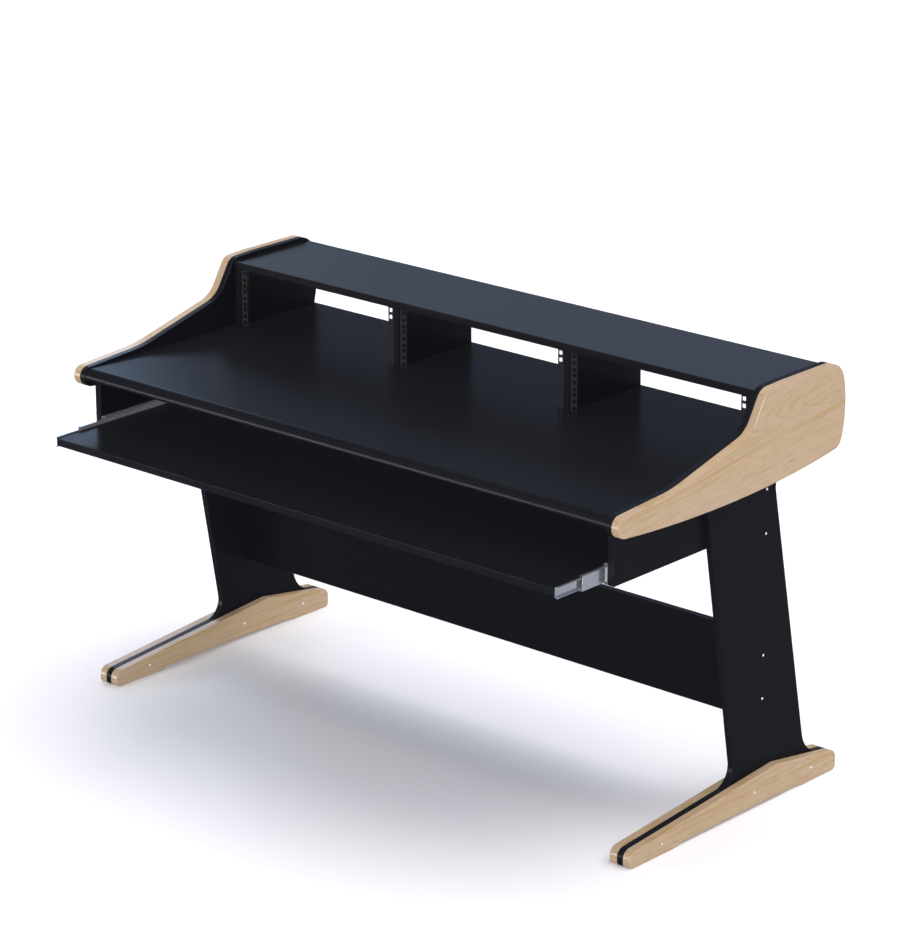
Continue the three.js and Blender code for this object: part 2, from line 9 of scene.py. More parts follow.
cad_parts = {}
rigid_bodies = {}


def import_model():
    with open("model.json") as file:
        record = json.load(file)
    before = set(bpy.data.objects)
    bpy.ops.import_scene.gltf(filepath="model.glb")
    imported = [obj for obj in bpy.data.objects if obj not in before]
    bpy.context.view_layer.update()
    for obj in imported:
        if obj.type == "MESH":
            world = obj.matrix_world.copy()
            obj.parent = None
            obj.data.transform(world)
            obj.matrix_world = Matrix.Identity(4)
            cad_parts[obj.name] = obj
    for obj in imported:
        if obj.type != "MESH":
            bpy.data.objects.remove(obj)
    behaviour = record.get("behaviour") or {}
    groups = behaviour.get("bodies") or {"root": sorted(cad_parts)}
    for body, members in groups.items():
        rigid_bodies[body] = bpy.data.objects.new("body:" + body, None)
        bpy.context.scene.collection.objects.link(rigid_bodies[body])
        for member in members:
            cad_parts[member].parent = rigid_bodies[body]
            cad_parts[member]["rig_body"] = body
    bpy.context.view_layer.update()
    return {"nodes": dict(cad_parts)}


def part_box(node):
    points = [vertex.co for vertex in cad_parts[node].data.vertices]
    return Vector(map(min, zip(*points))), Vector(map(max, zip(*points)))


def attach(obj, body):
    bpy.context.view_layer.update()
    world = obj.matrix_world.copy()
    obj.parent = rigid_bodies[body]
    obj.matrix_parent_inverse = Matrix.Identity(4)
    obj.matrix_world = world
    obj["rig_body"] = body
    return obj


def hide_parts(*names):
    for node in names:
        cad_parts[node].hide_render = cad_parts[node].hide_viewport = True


# studio desk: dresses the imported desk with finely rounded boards, steel parts and their finishes
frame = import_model()
scene = bpy.context.scene
mm = 0.001
print("desk loaded:", len(frame["nodes"]), "nodes")


cameraSettings = {
    "place": (5.3956, -5.9631, 3.3558),
    "azimuth": 41.84,  # degrees round to the right of the desk's front
    "elevation": 18.69,  # degrees above its target
    "roll": -0.24,
    "lens": 147.1,  # mm, as is the height of its sensor
    "sensorHeight": 36,
    "farthest": 200,  # metres
}


def addCamera(settings):
    data = bpy.data.cameras.new("studioCamera")
    data.sensor_fit = "VERTICAL"
    data.sensor_height = settings["sensorHeight"]
    data.lens = settings["lens"]
    data.clip_end = settings["farthest"]
    camera = bpy.data.objects.new("studioCamera", data)
    scene.collection.objects.link(camera)
    turn = (
        Matrix.Rotation(math.radians(settings["azimuth"]), 4, "Z")
        @ Matrix.Rotation(math.radians(90 - settings["elevation"]), 4, "X")
        @ Matrix.Rotation(math.radians(settings["roll"]), 4, "Z")
    )
    camera.matrix_world = Matrix.Translation(settings["place"]) @ turn
    scene.camera = camera


# a lamp with a spread shines from one direction, given in degrees as the camera's is
# the softbox hangs in its place and points at its target
lamps = {
    "lowLight": {
        "azimuth": 44,
        "elevation": 11,
        "spread": 40,
        "power": 1.62,
        "colour": (1.0, 0.985, 0.97),
        "shadow": False,
        "glossless": True,  # or it would shine off the tops, seen from behind
    },
    "topLight": {
        "azimuth": 156,
        "elevation": 66,
        "spread": 70,
        "power": 3.0,
        "colour": (1.0, 0.965, 0.985),
        "shadow": False,  # keeps the floor pale under the desk
        "glossless": True,
    },
    "fillLight": {
        "azimuth": -41,
        "elevation": 12,
        "spread": 12,
        "power": 0.85,
        "colour": (0.96, 0.96, 1.0),
        "glossless": True,
    },
    "edgeLight": {
        "azimuth": 1,
        "elevation": 37,
        "spread": 14,
        "power": 6,
        "colour": (1.0, 0.97, 0.97),
        "shadow": False,
        "glossOnly": True,  # draws the bright line down the ramp's rounded edge
    },
    "noseLight": {
        "azimuth": -41,
        "elevation": -1,  # low, or the tops would mirror it, seen from behind
        "spread": 14,
        "power": 1.4,
        "colour": (1.0, 0.96, 1.0),
        "shadow": False,
        "glossOnly": True,  # draws the line along the desktop's front
    },
    "backSoftbox": {
        "place": (-7.95, 4.55, 4.4),
        "target": (-0.6, 0, 0.8),
        "sides": (3.2, 2.4),
        "power": 105,
        "colour": (0.59, 0.80, 1.14),
    },
}


def addLamp(name, settings):
    wide = "spread" in settings
    data = bpy.data.lights.new(name, "SUN" if wide else "AREA")
    data.energy = settings["power"]
    data.color = settings["colour"]
    data.use_shadow = settings.get("shadow", True)
    light = bpy.data.objects.new(name, data)
    light.visible_diffuse = not settings.get("glossOnly", False)
    light.visible_glossy = not settings.get("glossless", False)
    scene.collection.objects.link(light)
    if wide:
        data.angle = math.radians(settings["spread"])
        light.rotation_euler = (math.radians(90 - settings["elevation"]), 0, math.radians(settings["azimuth"]))
    else:
        data.shape = "RECTANGLE"
        data.size, data.size_y = settings["sides"]
        light.location = settings["place"]
        aim = Vector(settings["target"]) - light.location
        light.rotation_euler = aim.to_track_quat("-Z", "Y").to_euler()


skySettings = {
    "horizon": (0.17, 0.21, 0.30, 1),
    "lowSky": (0.24, 0.30, 0.43, 1),
    "dome": (0.48, 0.48, 0.50, 1),
    "stops": (0.0, 0.36, 0.70),  # sine of the elevation where each begins
    # lit parts of the floor, as only gloss shows them; reach is the cosine where each starts and is full
    "shine": [
        {"azimuth": 24, "elevation": -19, "reach": (0.93, 0.98), "colour": (12, 11.4, 11.7, 1)},
        {"azimuth": 138, "elevation": -19, "reach": (0.86, 0.97), "colour": (0.62, 0.66, 0.76, 1)},
    ],
}


def addSky(settings):
    world = bpy.data.worlds.new("studioSky")
    world.use_nodes = True
    scene.world = world
    nodes, links = world.node_tree.nodes, world.node_tree.links
    direction = nodes.new("ShaderNodeTexCoord")
    split = nodes.new("ShaderNodeSeparateXYZ")
    ramp = nodes.new("ShaderNodeValToRGB")
    ramp.color_ramp.interpolation = "EASE"
    ramp.color_ramp.elements.new(settings["stops"][1])
    for element, place, colour in zip(
        ramp.color_ramp.elements,
        settings["stops"],
        (settings["horizon"], settings["lowSky"], settings["dome"]),
    ):
        element.position, element.color = place, colour
    links.new(direction.outputs["Generated"], split.inputs[0])
    links.new(split.outputs["Z"], ramp.inputs["Fac"])
    colour = ramp.outputs["Color"]
    for shine in settings["shine"]:
        turn = Matrix.Rotation(math.radians(shine["azimuth"]), 3, "Z")
        tilt = Matrix.Rotation(math.radians(-shine["elevation"]), 3, "X")
        near = nodes.new("ShaderNodeVectorMath")
        near.operation = "DOT_PRODUCT"
        near.inputs[1].default_value = turn @ tilt @ Vector((0, -1, 0))
        spot = nodes.new("ShaderNodeValToRGB")
        for element, place in zip(spot.color_ramp.elements, shine["reach"]):
            element.position = place
        mix = nodes.new("ShaderNodeMix")
        mix.data_type = "RGBA"  # its colours are inputs 6 and 7
        mix.inputs[7].default_value = shine["colour"]
        links.new(direction.outputs["Generated"], near.inputs[0])
        links.new(near.outputs["Value"], spot.inputs["Fac"])
        links.new(spot.outputs["Color"], mix.inputs[0])
        links.new(colour, mix.inputs[6])
        colour = mix.outputs[2]
    links.new(colour, nodes["Background"].inputs["Color"])


class Wire:
    # one output socket, so that shader maths reads as plain sums
    def __init__(self, finish, socket):
        self.finish, self.socket = finish, socket

    def __add__(self, other):
        return self.finish.maths("ADD", self, other)

    def __sub__(self, other):
        return self.finish.maths("SUBTRACT", self, other)

    def __rsub__(self, other):
        return self.finish.maths("SUBTRACT", other, self)

    def __mul__(self, other):
        return self.finish.maths("MULTIPLY", self, other)

    def __pow__(self, other):
        return self.finish.maths("POWER", self, other)

    __radd__ = __add__
    __rmul__ = __mul__


def scaled(colour, share):
    return tuple(share * c for c in colour[:3]) + (1,)


class Finish:
    def __init__(self, name):
        self.material = bpy.data.materials.new(name)
        self.material.use_nodes = True
        self.tree = self.material.node_tree
        self.tree.nodes.clear()
        self.place = self.node("TexCoord", output="Object")

    def node(self, kind, settings=None, inputs=None, output=0):
        made = self.tree.nodes.new("ShaderNode" + kind)
        for setting, value in (settings or {}).items():
            if setting == "stops":
                for element, (position, colour) in zip(made.color_ramp.elements, value):
                    element.position, element.color = position, colour
            else:
                setattr(made, setting, value)
        for socket, value in (inputs or {}).items():
            if isinstance(value, Wire):
                self.tree.links.new(value.socket, made.inputs[socket])
            else:
                made.inputs[socket].default_value = value
        return Wire(self, made.outputs[output]) if made.outputs else None

    def maths(self, operation, first, second=0):
        return self.node("Math", {"operation": operation}, {0: first, 1: second})

    def mixed(self, factor, low, high):
        return self.node("Mix", {"data_type": "RGBA"}, {0: factor, 6: low, 7: high}, output=2)

    def turned(self, origin, slope):  # places counted from origin, along a line that slopes up to the back
        inputs = {"Vector": self.place, "Location": origin, "Rotation": (slope, 0, 0)}
        return self.node("Mapping", {"vector_type": "TEXTURE"}, inputs)

    def stretched(self, perMetre, place=None):
        return self.node("VectorMath", {"operation": "MULTIPLY"}, {0: place or self.place, 1: perMetre})

    def noise(self, perMetre, detail=2.0, place=None, roughness=0.5):
        inputs = {"Vector": self.stretched(perMetre, place), "Scale": 1.0, "Detail": detail}
        return self.node("TexNoise", None, {**inputs, "Roughness": roughness})

    def ramp(self, value, low, high):  # 0 below low, 1 above high
        stops = [(low, (0, 0, 0, 1)), (high, (1, 1, 1, 1))]
        return self.node("ValToRGB", {"stops": stops}, {"Fac": value})

    def bump(self, height, distance, strength):
        return self.node("Bump", None, {"Height": height, "Distance": distance, "Strength": strength})

    def done(self, **sockets):
        inputs = {socket.replace("_", " "): value for socket, value in sockets.items()}
        surface = self.node("BsdfPrincipled", None, inputs)
        self.node("OutputMaterial", None, {"Surface": surface})
        return self.material


# in every finish perMetre is how fine a pattern is, shown how much of it the colour takes, dulls how much
# it adds to the roughness and relief the depth in metres and the strength of its bumps
maple = {  # edge is what a pattern fades between, depth how much of it shows
    "pale": (0.446, 0.325, 0.216, 1),
    "warm": (0.440, 0.312, 0.180, 1),
    "wander": {"perMetre": (4.0, 4.0, 9.0), "shift": 0.02, "bandShift": 0.012},
    "ring": {
        "along": 21,  # rings per metre along the grain
        "across": 46,
        "lopsided": 18,  # more of them per metre below the heart, and as many fewer above it
        "through": 140,
        "bow": 500,  # more again, the further from the heart
        "tip": 0.00002,  # rounds their points
        "edge": (0.70, 0.96),
        "heartEdge": (0.012, 0.060),
        "heartShare": 0.92,
        "depth": 0.55,
        "colour": (0.325, 0.208, 0.088, 1),
    },
    "ringPlaces": {"perMetre": (9.0, 9.0, 26.0), "edge": (0.36, 0.58)},
    "patch": {"perMetre": (5.0, 2.2, 14.0), "rise": 1.2, "edge": (0.36, 0.70)},
    "fibre": {
        "perMetre": (260.0, 26.0, 250.0),
        "edge": (0.40, 0.66),
        "depth": 0.40,
        "colour": (0.335, 0.230, 0.134, 1),
    },
    "streak": {
        "perMetre": (30.0, 2.6, 150.0),
        "bandEdge": (0.0, 0.045),
        "offBand": 0.10,
        "fibreShare": 0.16,
        "edge": (0.47, 0.58),
        "depth": 0.66,
        "colour": (0.352, 0.245, 0.085, 1),
    },
    "pore": {
        "perMetre": (520.0, 60.0, 520.0),
        "edge": (0.58, 0.70),
        "depth": 0.25,
        "colour": (0.325, 0.208, 0.088, 1),
    },
    "mark": {
        "perMetre": (20.0, 48.0, 900.0),
        "edge": (0.35, 1.0),
        "depth": 0.9,
        "colour": (0.300, 0.100, 0.045, 1),
    },
    "roughness": 0.36,
    "dulls": {"fibre": 0.12},
    "coat": 0.40,
    "coatRoughness": 0.22,
    "specular": 0.1,
    "poreRelief": 0.6,
    "relief": (0.00006, 1.0),
}
# where each piece has its heart, its band of yellow streaks and a brown mark; slopes run up to the back
grains = {
    "rightCheek": {
        "heart": (0.80, 0.110, 0.8735),
        "heartSlope": 0.071,
        "streak": (0.80, 0.230, 0.8385),
        "slope": 0.132,
        "mark": (0.80, 0.257, 0.7686),
        "facing": 1,
    },
    "leftCheek": {
        "heart": (-0.80, 0.050, 0.850),
        "heartSlope": 0.05,
        "streak": (-0.80, 0.150, 0.800),
        "slope": 0.10,
        "mark": (-0.80, 0.300, 0.880),
        "facing": -1,
    },
    "rightFoot": {
        "heart": (0.79, 0.600, -0.150),
        "heartSlope": 0.0,
        "streak": (0.79, 0.200, 0.047),
        "slope": 0.012,
        "mark": (0.75, -0.200, 0.050),
        "facing": 1,
    },
    "leftFoot": {
        "heart": (-0.76, -0.500, -0.150),
        "heartSlope": 0.0,
        "streak": (-0.76, 0.150, 0.056),
        "slope": 0.02,
        "mark": (-0.80, 0.100, 0.050),
        "facing": -1,
    },
}


def mapleFinish(name, grain):
    f = Finish(name)
    ring, streak, mark = maple["ring"], maple["streak"], maple["mark"]

    # pointed rings around the heart, drawn in some places only
    heart = f.turned(grain["heart"], grain["heartSlope"])
    x, y, z = (f.node("SeparateXYZ", None, {0: heart}, output=axis) for axis in "XYZ")
    wander = f.noise(maple["wander"]["perMetre"], 2.0, heart) - 0.5
    up = z + wander * maple["wander"]["shift"]
    arch = (up * up + ring["tip"]) ** 0.5
    rings = y * (ring["along"] * grain["facing"]) - arch * ring["across"] + up * ring["lopsided"]
    rings = rings - up * up * ring["bow"] + x * ring["through"] + wander
    offHeart = f.ramp(f.maths("ABSOLUTE", z), *ring["heartEdge"])
    inPlace = f.ramp(f.noise(maple["ringPlaces"]["perMetre"], 2.0, heart), *maple["ringPlaces"]["edge"])
    ringLine = f.ramp(f.maths("FRACT", rings), *ring["edge"]) * inPlace * (1 - offHeart * ring["heartShare"])

    # fibres, pores and streaks run along the board
    lines = f.turned(grain["streak"], grain["slope"])
    height = f.node("SeparateXYZ", None, {0: lines}, output="Z")
    patch = f.noise(maple["patch"]["perMetre"], 2.0, lines) + height * maple["patch"]["rise"]
    fibre = f.noise(maple["fibre"]["perMetre"], 3.0, lines, 0.6)
    offBand = f.ramp(f.maths("ABSOLUTE", height + wander * maple["wander"]["bandShift"]), *streak["bandEdge"])
    streaks = f.noise(streak["perMetre"], 3.0, lines, 0.55) - offBand * streak["offBand"]
    streaks = streaks + (fibre - 0.5) * streak["fibreShare"]
    pores = f.ramp(f.noise(maple["pore"]["perMetre"], 2.0, lines), *maple["pore"]["edge"])
    toMark = f.stretched(mark["perMetre"], f.turned(grain["mark"], grain["slope"]))
    onMark = 1 - f.ramp(f.node("VectorMath", {"operation": "LENGTH"}, {0: toMark}, output=1), *mark["edge"])

    colour = f.mixed(f.ramp(patch, *maple["patch"]["edge"]), maple["pale"], maple["warm"])
    for part, shown in (
        (maple["fibre"], f.ramp(fibre, *maple["fibre"]["edge"])),
        (ring, ringLine),
        (streak, f.ramp(streaks, *streak["edge"])),
        (maple["pore"], pores),
        (mark, onMark),
    ):
        colour = f.mixed(shown * part["depth"], colour, part["colour"])
    return f.done(
        Base_Color=colour,
        Roughness=maple["roughness"] + fibre * maple["dulls"]["fibre"],
        Coat_Weight=maple["coat"],
        Coat_Roughness=maple["coatRoughness"],
        Specular_IOR_Level=maple["specular"],
        Normal=f.bump(fibre + pores * maple["poreRelief"], *maple["relief"]),
    )


laminate = {
    "face": {"colour": (0.0070, 0.0073, 0.0090, 1), "roughness": 0.22, "specular": 0.022},
    "edge": {"colour": (0.0075, 0.0080, 0.0103, 1), "roughness": 0.26, "specular": 0.045},
    # the shelf's copy of the same black laminate is painted a little paler and made far glossier, so that it shows
    # a brighter sheen than the desktop: a lit copy
    "shelf": {"colour": (0.0078, 0.0082, 0.0104, 1), "roughness": 0.22, "specular": 0.35},
    "pearlPerMetre": (1500.0, 1500.0, 1500.0),
    "cloudPerMetre": (3.2, 5.0, 3.2),
    "wipePerMetre": (5.0, 26.0, 9.0),
    "wipeEdge": (0.45, 0.75),
    "speckPerMetre": (260.0, 260.0, 260.0),
    "speckEdge": (0.70, 0.80),
    "worn": 1.5,  # times as pale where clouds and specks are
    "shown": {"cloud": 0.5, "speck": 0.25},
    "dulls": {"cloud": 0.05, "wipe": 0.02, "pearl": 0.04},
    "relief": (0.000006, 0.5),
}


def laminateFinish(name, colour, roughness, specular):
    # satin black: a fine pearl texture with faint wiping marks
    f = Finish(name)
    shown, dulls = laminate["shown"], laminate["dulls"]
    pearl = f.noise(laminate["pearlPerMetre"], 2.0)
    cloud = f.noise(laminate["cloudPerMetre"], 3.0)
    wipe = f.ramp(f.noise(laminate["wipePerMetre"], 3.0), *laminate["wipeEdge"])
    speck = f.ramp(f.noise(laminate["speckPerMetre"], 1.0), *laminate["speckEdge"])
    return f.done(
        Base_Color=f.mixed(
            cloud * shown["cloud"] + speck * shown["speck"], colour, scaled(colour, laminate["worn"])
        ),
        Roughness=roughness + (cloud - 0.5) * dulls["cloud"] + wipe * dulls["wipe"] + pearl * dulls["pearl"],
        Specular_IOR_Level=specular,
        Normal=f.bump(pearl, *laminate["relief"]),
    )


zincStrip = {
    "bright": (0.43, 0.44, 0.465, 1),
    "dull": (0.34, 0.35, 0.375, 1),
    "linesPerMetre": (1800.0, 14.0, 1800.0),
    "spanglePerMetre": (240.0, 150.0, 240.0),
    "cloudPerMetre": (30.0, 12.0, 30.0),
    "metallic": 0.82,
    "roughness": 0.15,
    "shown": {"spangle": 0.35, "cloud": 0.4},
    "dulls": {"spangle": 0.03, "lines": 0.05},
    "relief": (0.00003, 0.6),
}


def zincFinish(name):
    # rolled and zinc-plated strip: fine lines along y and a faint cloud of spangle
    f = Finish(name)
    shown, dulls = zincStrip["shown"], zincStrip["dulls"]
    lines = f.noise(zincStrip["linesPerMetre"], 3.0, roughness=0.6)
    cells = {"Vector": f.stretched(zincStrip["spanglePerMetre"]), "Scale": 1.0}
    spangle = f.node("RGBToBW", None, {0: f.node("TexVoronoi", None, cells, output="Color")})
    cloud = f.noise(zincStrip["cloudPerMetre"], 2.0)
    return f.done(
        Base_Color=f.mixed(
            spangle * shown["spangle"] + cloud * shown["cloud"], zincStrip["bright"], zincStrip["dull"]
        ),
        Metallic=zincStrip["metallic"],
        Roughness=zincStrip["roughness"] + spangle * dulls["spangle"] + lines * dulls["lines"],
        Normal=f.bump(lines, *zincStrip["relief"]),
    )


polished = {
    "bearingSteel": {"colour": (0.80, 0.80, 0.82, 1), "roughness": 0.10, "metallic": 0.9},
    "nickelPlate": {"colour": (0.92, 0.92, 0.94, 1), "roughness": 0.18, "metallic": 0.35},
    "hazePerMetre": (300.0, 300.0, 300.0),
    "scratchPerMetre": (120.0, 2400.0, 2400.0),
    "hazed": 0.86,  # what the haze leaves of the colour
    "dulls": {"haze": 0.08, "scratch": 0.06},
    "relief": (0.00001, 0.4),
}


def polishedFinish(name, colour, roughness, metallic):
    # bearing steel and nickel plate: bright, with a light haze
    f = Finish(name)
    haze = f.noise(polished["hazePerMetre"], 2.0)
    scratch = f.noise(polished["scratchPerMetre"], 2.0)
    return f.done(
        Base_Color=f.mixed(haze, colour, scaled(colour, polished["hazed"])),
        Metallic=metallic,
        Roughness=roughness + haze * polished["dulls"]["haze"] + scratch * polished["dulls"]["scratch"],
        Normal=f.bump(scratch, *polished["relief"]),
    )


powderCoat = {
    "low": (0.0075, 0.0077, 0.0085, 1),
    # the paler colour: a painted highlight on the peel's high spots, and the paler tone of the clouds
    "high": (0.012, 0.0122, 0.0135, 1),
    "peelPerMetre": (900.0, 900.0, 900.0),
    "cloudPerMetre": (40.0, 40.0, 40.0),
    "roughness": 0.46,
    "specular": 0.14,
    # peel: the share of painted highlight on the high spots; cloud: random tone
    "shown": {"peel": 0.3, "cloud": 0.3},
    "dulls": {"peel": 0.10},
    "relief": (0.00001, 0.5),
}


def powderFinish(name):
    # black powder coat: orange peel whose high spots are painted a little paler as a painted highlight, with
    # random clouds paler as tone
    f = Finish(name)
    shown = powderCoat["shown"]
    peel = f.noise(powderCoat["peelPerMetre"], 2.0)
    cloud = f.noise(powderCoat["cloudPerMetre"], 2.0)
    return f.done(
        Base_Color=f.mixed(
            peel * shown["peel"] + cloud * shown["cloud"], powderCoat["low"], powderCoat["high"]
        ),
        Roughness=powderCoat["roughness"] + peel * powderCoat["dulls"]["peel"],
        Specular_IOR_Level=powderCoat["specular"],
        Normal=f.bump(peel, *powderCoat["relief"]),
    )


finishes = {
    "laminate": laminateFinish("blackLaminate", **laminate["face"]),
    "edgeBand": laminateFinish("blackEdgeBand", **laminate["edge"]),
    # a lit copy of the black laminate for the shelf: painted a little paler and far glossier
    "shelfLitLaminateCopy": laminateFinish("shelfLitLaminateCopy", **laminate["shelf"]),
    "rightCheek": mapleFinish("rightCheekMaple", grains["rightCheek"]),
    "leftCheek": mapleFinish("leftCheekMaple", grains["leftCheek"]),
    "rightFoot": mapleFinish("rightFootMaple", grains["rightFoot"]),
    "leftFoot": mapleFinish("leftFootMaple", grains["leftFoot"]),
    "zinc": zincFinish("zincSteel"),
    "ball": polishedFinish("bearingSteel", **polished["bearingSteel"]),
    "nickel": polishedFinish("nickelScrew", **polished["nickelPlate"]),
    "powder": powderFinish("blackPowderCoat"),
}
print("finishes:", len(finishes))


meshing = {
    "creaseAngle": 0.6,  # radians between two faces from which the edge between them is sharp
    "facingShare": 0.7,  # of a face's normal along an axis from which it faces that way
    "rimSteps": 5,
    "reach": 1 * mm,  # from the end of a straight run to the point that holds its shading
    "shortestRun": 4,  # reaches; a shorter run, or a thinner board, has no such points
    "thinnestBoard": 8,
}


def roundedOutline(corners, degreesEach=5):
    # corners run counter-clockwise as (first, second, radius); each radius becomes an arc
    points = []
    for i, (first, second, radius) in enumerate(corners):
        here = Vector((first, second))
        if radius == 0:
            points.append(here)
            continue
        back = (Vector(corners[i - 1][:2]) - here).normalized()
        ahead = (Vector(corners[(i + 1) % len(corners)][:2]) - here).normalized()
        half = back.angle(ahead) / 2
        centre = here + (back + ahead).normalized() * (radius / math.sin(half))
        start = here + back * (radius / math.tan(half)) - centre
        turn = math.pi - 2 * half
        if back.x * ahead.y > back.y * ahead.x:
            turn = -turn
        steps = max(3, math.ceil(math.degrees(abs(turn)) / degreesEach))
        points += [centre + Matrix.Rotation(turn * k / steps, 2) @ start for k in range(steps + 1)]
    return points


def insetOutline(points, inset):
    moved = []
    for i, here in enumerate(points):
        before = (here - points[i - 1]).normalized()
        after = (points[(i + 1) % len(points)] - here).normalized()
        inBefore, inAfter = Vector((-before.y, before.x)), Vector((-after.y, after.x))
        moved.append(here + (inBefore + inAfter) * (inset / (1 + inBefore.dot(inAfter))))
    return moved


def heldEnds(points):
    # more points close to both ends of each long straight run, so that its shading stays flat
    held, reach = [], meshing["reach"]
    for i, here in enumerate(points):
        ahead = points[(i + 1) % len(points)]
        held.append(here)
        if (ahead - here).length > meshing["shortestRun"] * reach:
            step = (ahead - here).normalized() * reach
            held += [here + step, ahead - step]
    return held


def circle(middle, radius, count=28):
    return [
        Vector(middle) + Vector((math.cos(a), math.sin(a))) * radius
        for a in (2 * math.pi * k / count for k in range(count))
    ]


def edgeLoop(bm, ring):
    return [bm.edges.get((ring[i - 1], ring[i])) for i in range(len(ring))]


def bridgeRings(bm, rings):
    for near, far in zip(rings, rings[1:]):
        for i in range(len(near)):
            bm.faces.new((near[i - 1], near[i], far[i], far[i - 1]))


def addPiece(name, bm, materials, facing=None):
    # facing: faces that look along this axis get the first material, all others the second
    bmesh.ops.recalc_face_normals(bm, faces=bm.faces)
    for edge in bm.edges:
        if len(edge.link_faces) == 2 and edge.calc_face_angle() > meshing["creaseAngle"]:
            edge.smooth = False
    if facing is not None:
        for face in bm.faces:
            face.material_index = 0 if abs(face.normal[facing]) > meshing["facingShare"] else 1
    mesh = bpy.data.meshes.new(name)
    bm.to_mesh(mesh)
    bm.free()
    for material in materials:
        mesh.materials.append(material)
    piece = bpy.data.objects.new(name, mesh)
    scene.collection.objects.link(piece)
    return piece


def board(name, outline, start, end, materials, arris=(1.5, 1.5), holes=(), facing=None, along="x"):
    # a board whose outline is drawn across its thickness, with rounded rims; arris is the radius of each rim in mm
    place = (lambda p, d: (d, p.x, p.y)) if along == "x" else (lambda p, d: (p.x, d, p.y))
    steps, reach = meshing["rimSteps"], meshing["reach"]
    outline = heldEnds(outline)
    layers = []
    for radius, rim, direction in ((arris[0] * mm, start, 1), (arris[1] * mm, end, -1)):
        angles = [math.pi / 2 * k / steps for k in range(steps + 1)] if radius else [math.pi / 2]
        side = [(rim + direction * radius * (1 - math.cos(a)), radius * (1 - math.sin(a))) for a in angles]
        if end - start > meshing["thinnestBoard"] * reach:
            side.append((rim + direction * (radius + reach), 0))
        layers += side if direction > 0 else side[::-1]
    bm = bmesh.new()
    rings = [[bm.verts.new(place(p, depth)) for p in insetOutline(outline, inset)] for depth, inset in layers]
    bridgeRings(bm, rings)
    bores = []
    for first, second, radius in holes:
        ends = [[bm.verts.new(place(p, rim)) for p in circle((first, second), radius)] for rim in (start, end)]
        bridgeRings(bm, ends)
        bores.append(ends)
    for face in bm.faces:
        face.smooth = True
    for side in (0, -1):
        if bores:
            edges = edgeLoop(bm, rings[side])
            for ends in bores:
                edges += edgeLoop(bm, ends[side])
            bmesh.ops.triangle_fill(bm, edges=edges, use_beauty=True)
        else:
            bm.faces.new(rings[side])
    return addPiece(name, bm, materials, facing)


def standFor(piece, node):
    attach(piece, frame["nodes"][node]["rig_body"])
    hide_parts(node)


desktopRear = 338 * mm  # where the desktop ends, counted from the middle of the feet as in the outlines below
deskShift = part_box("desktop")[1].y - desktopRear

cheekShape = {  # millimetres
    "noseMiddle": (-381.6, 764.4),
    "noseRadius": 23.4,
    "belly": [(-381.6, 741), (-182, 721.5), (112, 719), (327.5, 754.5)],
    "heel": [(327.5, 754.5), (347, 757.5), (353, 786)],
    "back": [(353, 786), (363, 826), (363, 868), (355, 905)],
    "crown": [(355, 905), (346, 943), (313, 948)],
    # with the radius of each bend
    "top": [(153, 948, 300), (82.5, 945.5, 32), (31.3, 861.4, 72), (-215, 798.4, 320)],
    "steps": {"nose": 36, "belly": 40, "heel": 10, "back": 14, "crown": 16},  # along each curve
}
footShape = {
    "front": (-356, 36.9),
    "rear": (362, 45.7),
    "peak": (150, 79),
    "peakRadius": 50,
    "topTipRadius": 20,
    "lowTipRadius": 10,
    "relief": [(-212, 0), (-190, 6), (218, 6), (239, 0)],
    "boltsAt": (-249, 69, 273),
    "boltHeightShare": 0.525,
}
legShape = {
    "front": {"y": -6, "z": 242, "lean": 0.1745},
    "rear": {"y": 236.9, "z": 242, "lean": 0.1955},
    "topFillet": 25,
    "frontFootFillet": 45,
    "rearFootFillet": 70,
    "screwLine": 115,
    "screwHeights": (237, 337, 614.7, 714.7),
    "meetRounds": 30,  # until the edges have settled on the foot's top
    "bellySteps": 400,  # fine, to find where the edges meet it
    "keepEvery": 12,  # of those steps, in the outline
    "frontFree": 8,  # steps beside each meeting that its fillet needs free
    "rearFree": 20,
}
rims = {  # millimetres
    "wood": 2.2,
    "woodBack": 0.3,
    "panel": 1.4,
    "uprightBoard": 1.2,
    "spanningBoard": 0.4,
    "screwHole": 3.4,
}


def curve(points, steps):
    knots = [Vector(p) for p in points]
    if len(knots) == 3:  # one handle shared by both ends
        knots[1:2] = [knots[0].lerp(knots[1], 2 / 3), knots[2].lerp(knots[1], 2 / 3)]
    return [Vector(p[:2]) for p in interpolate_bezier(*(k.to_3d() for k in knots), steps + 1)]


def cheekBackAndTop():
    middle, radius, steps = Vector(cheekShape["noseMiddle"]), cheekShape["noseRadius"], cheekShape["steps"]
    back = []
    for part in ("heel", "back", "crown"):
        back += curve(cheekShape[part], steps[part])[1:]
    turns = [math.pi * k / steps["nose"] for k in range(1, steps["nose"] - 1)]
    nose = [middle + Matrix.Rotation(turn, 2) @ Vector((0, radius)) for turn in turns]
    return [(*p, 0) for p in back] + cheekShape["top"] + [(*p, 0) for p in nose]


def cheekOutline():
    belly = curve(cheekShape["belly"], cheekShape["steps"]["belly"])
    return roundedOutline([(*p, 0) for p in belly] + cheekBackAndTop())


def footTop(y):
    end = footShape["front"] if y < footShape["peak"][0] else footShape["rear"]
    peak = footShape["peak"]
    return peak[1] + (end[1] - peak[1]) * (y - peak[0]) / (end[0] - peak[0])


def footCorners():
    (frontY, frontZ), (rearY, rearZ) = footShape["front"], footShape["rear"]
    top, low = footShape["topTipRadius"], footShape["lowTipRadius"]
    under = [(frontY, 0, low)] + [(y, z, 0) for y, z in footShape["relief"]] + [(rearY, 0, low)]
    return (frontY, frontZ, top), under, (rearY, rearZ, top)


def footOutline():
    frontTip, under, rearTip = footCorners()
    return roundedOutline(under + [rearTip, (*footShape["peak"], footShape["peakRadius"]), frontTip])


def legEdge(z, edge):
    line = legShape[edge]
    return line["y"] + (line["z"] - z) * line["lean"]


